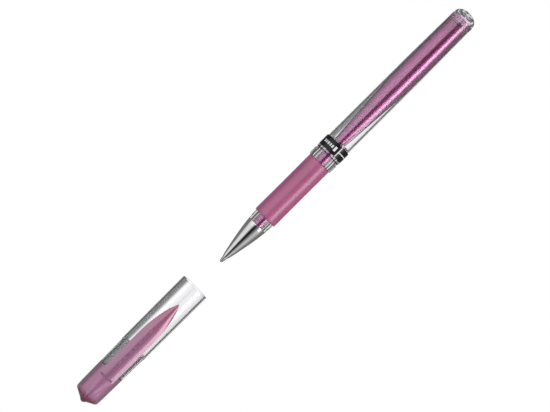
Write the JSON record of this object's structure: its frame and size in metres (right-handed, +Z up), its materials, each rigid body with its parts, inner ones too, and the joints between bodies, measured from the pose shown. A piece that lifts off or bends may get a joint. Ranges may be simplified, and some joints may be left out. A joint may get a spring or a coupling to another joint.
{
  "type": "gel pen",
  "caption": "Capped gel pen with a clear barrel of metallic pink ink, rubber grip, metal nose cone and pulled-off clear cap with a pink clip.",
  "frame": {"origin": "on the surface that the set lies on, under the middle of its length and width", "axes": "+X from the cap's crown along the pen to its tail, +Z up through the clip, +Y across"},
  "size_m": [0.2188, 0.0126, 0.015],
  "materials": {
    "clear_plastic": "clear, polished",
    "cap_clear_plastic": "clear, polished",
    "black_plastic": "gloss with plain white rules",
    "pink_rubber": "satin",
    "plated_metal": "mirror plate with fine turning marks",
    "refill_plastic": "clear",
    "white_plastic": "moulded",
    "nickel_silver": "machined",
    "ball_metal": "polished",
    "metallic_ink": "metallic pearl",
    "grease": "clear gel",
    "liner_plastic": "translucent",
    "seal_rubber": "matt",
    "pink_plastic": "tinted, slightly pearly gloss"
  },
  "bodies": {
    "barrel": {"barrel": "clear_plastic", "tail_plug": "clear_plastic", "label_band": "black_plastic"},
    "refill": {"refill_tube": "refill_plastic", "refill_plug": "white_plastic", "tip_holder": "refill_plastic", "writing_tip": "nickel_silver", "ink_feed": "metallic_ink", "ink_column": "metallic_ink"},
    "front": {"front_section": "clear_plastic", "rubber_grip": "pink_rubber", "nose_cone": "plated_metal"},
    "writing_ball": {"writing_ball": "ball_metal"},
    "check_ball": {"check_ball": "ball_metal"},
    "follower": {"ink_follower": "grease", "follower_float": "white_plastic"},
    "cap": {"cap_tube": "cap_clear_plastic", "inner_cap": "liner_plastic", "tip_seal": "seal_rubber", "cap_crown": "pink_plastic"},
    "clip": {"clip": "pink_plastic"}
  },
  "joints": [
    {"name": "refill_advance", "type": "slide", "parent": "barrel", "child": "refill", "axis": [1, 0, 0], "range_m": [-0.0045, 0]},
    {"name": "front_unscrew", "type": "hinge", "parent": "refill", "child": "front", "pos_m": [0.0305, 0, 0.00635], "axis": [1, 0, 0], "range_deg": [-1081, 0]},
    {"name": "ball_roll", "type": "hinge", "parent": "refill", "child": "writing_ball", "pos_m": [-0.0306, 0, 0.00635], "axis": [0, 1, 0], "continuous": true},
    {"name": "check_ball_float", "type": "slide", "parent": "refill", "child": "check_ball", "axis": [1, 0, 0], "range_m": [0, 0.0006]},
    {"name": "follower_travel", "type": "slide", "parent": "refill", "child": "follower", "axis": [-1, 0, 0], "range_m": [0, 0.029], "deforming": ["ink_column"]},
    {"name": "cap_slide", "type": "slide", "parent": "barrel", "child": "cap", "axis": [1, 0, 0], "range_m": [0, 0.07025]},
    {"name": "clip_flex", "type": "hinge", "parent": "cap", "child": "clip", "pos_m": [-0.0946, 0, 0.0143], "axis": [0, -1, 0], "range_deg": [0, 4], "stiffness_Nm_per_rad": 4}
  ],
  "couplings": [
    {"joint": "front_unscrew", "follows": "refill_advance", "rad_per_m": 4188.8}
  ]
}
